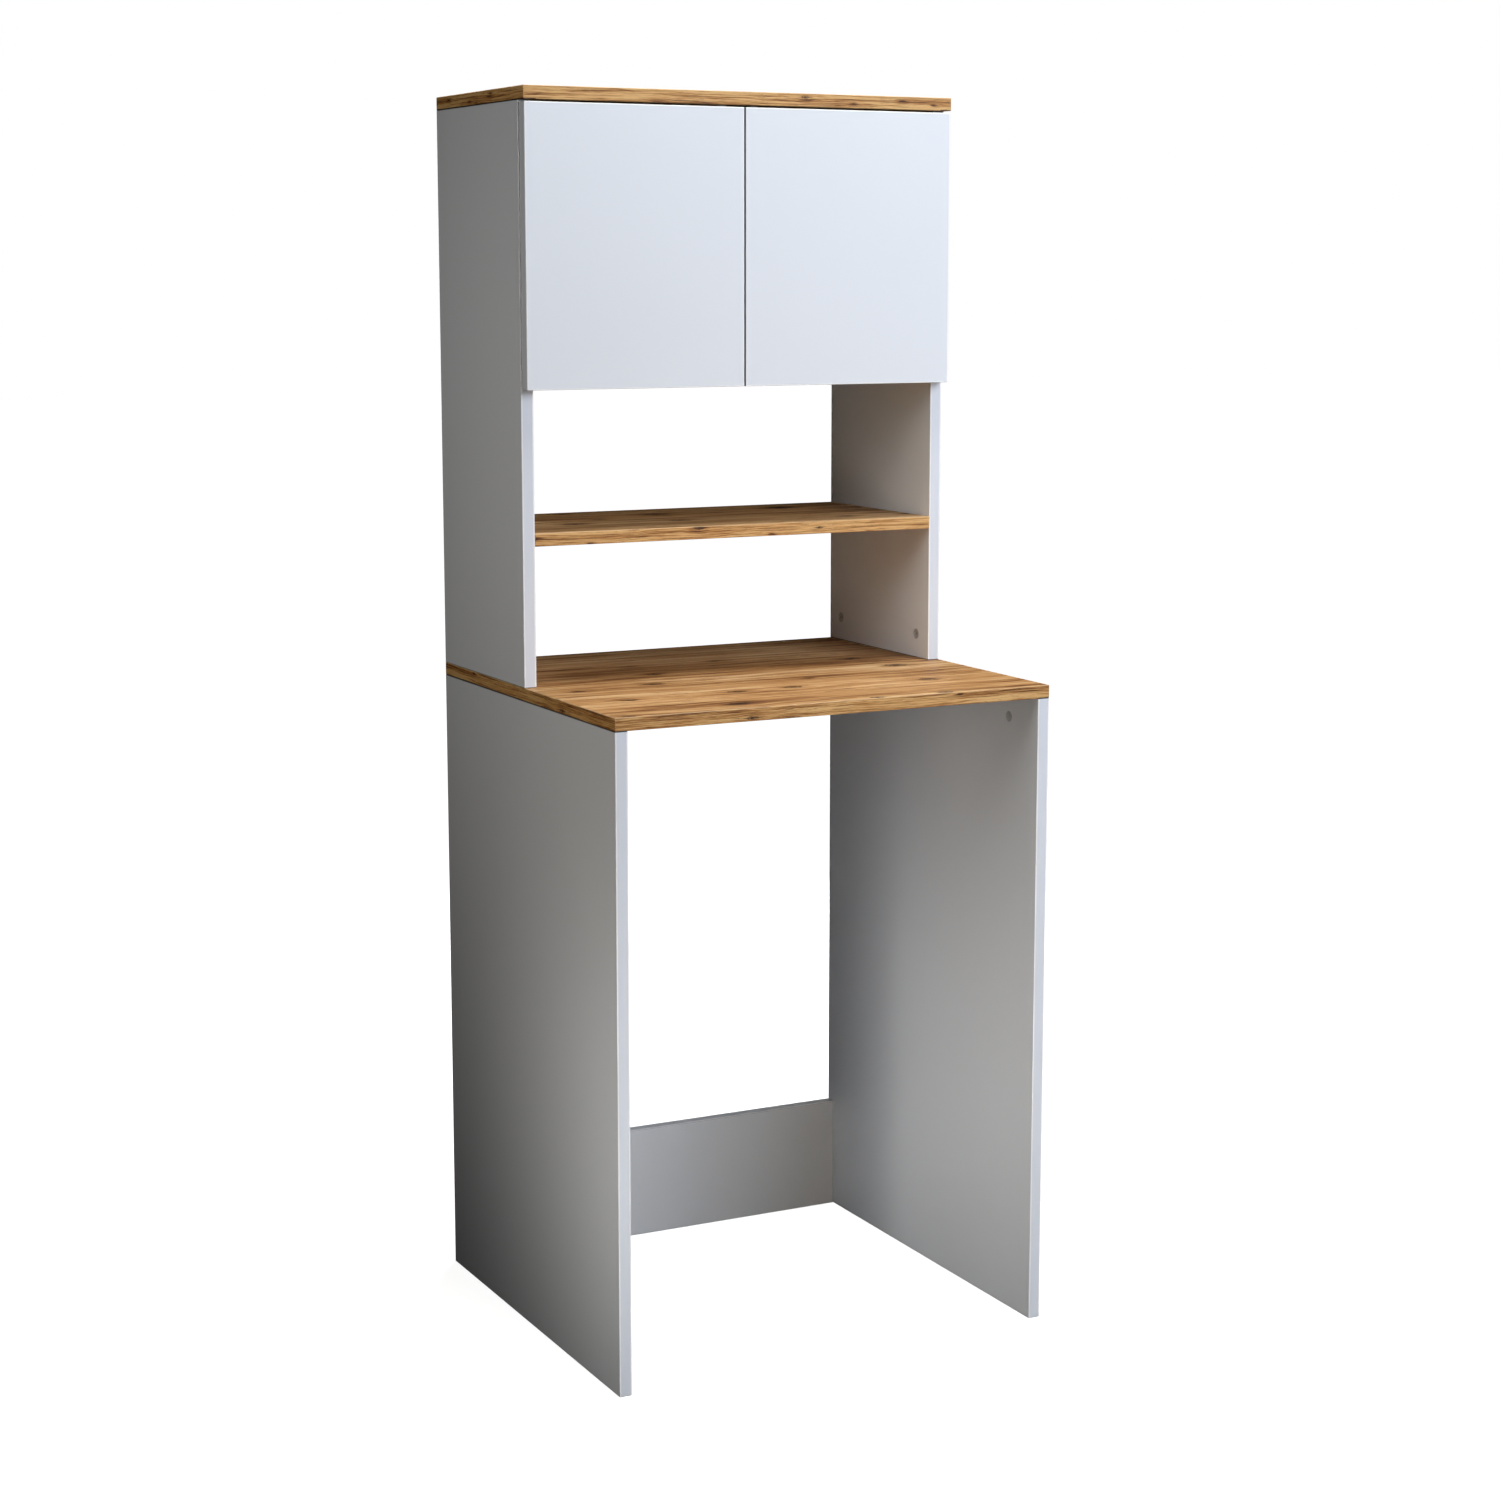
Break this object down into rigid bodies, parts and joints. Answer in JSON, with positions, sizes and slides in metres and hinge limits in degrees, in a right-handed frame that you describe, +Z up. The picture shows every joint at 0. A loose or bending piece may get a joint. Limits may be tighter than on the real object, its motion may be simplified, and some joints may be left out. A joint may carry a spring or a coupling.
{
  "type": "washing machine cabinet",
  "caption": "Over-washer cabinet: open machine bay with a rear rail, oak-decor worktop, open niche with a shelf and a cupboard with two push-latched doors on concealed hinges.",
  "frame": {"origin": "on the floor, in the middle of the overall width and depth", "axes": "+X from left to right as seen from the front, +Y from front to back, +Z up"},
  "size_m": [0.66, 0.603, 1.725],
  "materials": {
    "white_board": "white melamine-faced chipboard, fine satin",
    "oak_board": "chipboard with a rustic oak decor foil, satin",
    "hardboard": "thin white-faced hardboard",
    "zinc": "zinc-plated",
    "nickel": "nickel-plated pressed steel",
    "grey_plastic": "moulded, matt"
  },
  "bodies": {
    "carcass": {"base_side_left": "white_board", "base_side_right": "white_board", "rear_rail": "white_board", "worktop": "oak_board", "upper_side_left": "white_board", "upper_side_right": "white_board", "niche_shelf": "oak_board", "cupboard_floor": "white_board", "top_board": "oak_board", "back_panel": "hardboard", "hinge_arm_left_top": "nickel", "hinge_arm_left_bottom": "nickel", "hinge_arm_right_top": "nickel", "hinge_arm_right_bottom": "nickel", "hinge_plate_left_top": "nickel", "hinge_plate_left_bottom": "nickel", "hinge_plate_right_top": "nickel", "hinge_plate_right_bottom": "nickel", "push_latch_left": "grey_plastic", "push_latch_right": "grey_plastic", "cam_lock_worktop_left_front": "zinc", "cam_lock_worktop_left_back": "zinc", "cam_lock_worktop_right_front": "zinc", "cam_lock_worktop_right_back": "zinc", "cam_lock_rail_left": "zinc", "cam_lock_rail_right": "zinc", "cam_lock_foot_left_front": "zinc", "cam_lock_foot_left_back": "zinc", "cam_lock_foot_right_front": "zinc", "cam_lock_foot_right_back": "zinc", "cam_lock_top_left_front": "zinc", "cam_lock_top_left_back": "zinc", "cam_lock_top_right_front": "zinc", "cam_lock_top_right_back": "zinc", "cam_lock_shelf_left_front": "zinc", "cam_lock_shelf_left_back": "zinc", "cam_lock_shelf_right_front": "zinc", "cam_lock_shelf_right_back": "zinc", "cam_lock_floor_left_front": "zinc", "cam_lock_floor_left_back": "zinc", "cam_lock_floor_right_front": "zinc", "cam_lock_floor_right_back": "zinc"},
    "left_outer_links": {"hinge_outer_link_left_top": "nickel", "hinge_outer_link_left_bottom": "nickel"},
    "right_outer_links": {"hinge_outer_link_right_top": "nickel", "hinge_outer_link_right_bottom": "nickel"},
    "left_inner_links": {"hinge_inner_link_left_top": "nickel", "hinge_inner_link_left_bottom": "nickel"},
    "right_inner_links": {"hinge_inner_link_right_top": "nickel", "hinge_inner_link_right_bottom": "nickel"},
    "left_door": {"door_left": "white_board", "hinge_cup_left_top": "nickel", "hinge_cup_left_bottom": "nickel", "strike_plate_left": "zinc"},
    "right_door": {"door_right": "white_board", "hinge_cup_right_top": "nickel", "hinge_cup_right_bottom": "nickel", "strike_plate_right": "zinc"},
    "left_plunger": {"latch_plunger_left": "grey_plastic"},
    "right_plunger": {"latch_plunger_right": "grey_plastic"}
  },
  "joints": [
    {"name": "left_door_on_links", "type": "hinge", "parent": "left_outer_links", "child": "left_door", "pos_m": [-0.3175, -0.005, 1.513], "axis": [0, 0, -1], "range_deg": [0, 136.8]},
    {"name": "left_outer_link_swing", "type": "hinge", "parent": "carcass", "child": "left_outer_links", "pos_m": [-0.294, 0.0105, 1.513], "axis": [0, 0, 1], "range_deg": [0, 42]},
    {"name": "left_inner_link_swing", "type": "hinge", "parent": "carcass", "child": "left_inner_links", "pos_m": [-0.294, -0.011, 1.513], "axis": [0, 0, 1], "range_deg": [0, 51]},
    {"name": "left_plunger_stroke", "type": "slide", "parent": "carcass", "child": "left_plunger", "axis": [0, -1, 0], "range_m": [0, 0.0141]},
    {"name": "right_door_on_links", "type": "hinge", "parent": "right_outer_links", "child": "right_door", "pos_m": [0.3175, -0.005, 1.513], "axis": [0, 0, 1], "range_deg": [0, 136.8]},
    {"name": "right_outer_link_swing", "type": "hinge", "parent": "carcass", "child": "right_outer_links", "pos_m": [0.294, 0.0105, 1.513], "axis": [0, 0, -1], "range_deg": [0, 42]},
    {"name": "right_inner_link_swing", "type": "hinge", "parent": "carcass", "child": "right_inner_links", "pos_m": [0.294, -0.011, 1.513], "axis": [0, 0, -1], "range_deg": [0, 51]},
    {"name": "right_plunger_stroke", "type": "slide", "parent": "carcass", "child": "right_plunger", "axis": [0, -1, 0], "range_m": [0, 0.0141]}
  ],
  "couplings": [
    {"joint": "left_outer_link_swing", "follows": "left_door_on_links", "ratio": 0.30556},
    {"joint": "left_inner_link_swing", "follows": "left_door_on_links", "ratio": 0.37153},
    {"joint": "left_plunger_stroke", "follows": "left_door_on_links", "m_per_rad": 0.0058636},
    {"joint": "right_outer_link_swing", "follows": "right_door_on_links", "ratio": 0.30556},
    {"joint": "right_inner_link_swing", "follows": "right_door_on_links", "ratio": 0.37153},
    {"joint": "right_plunger_stroke", "follows": "right_door_on_links", "m_per_rad": 0.0058636}
  ]
}
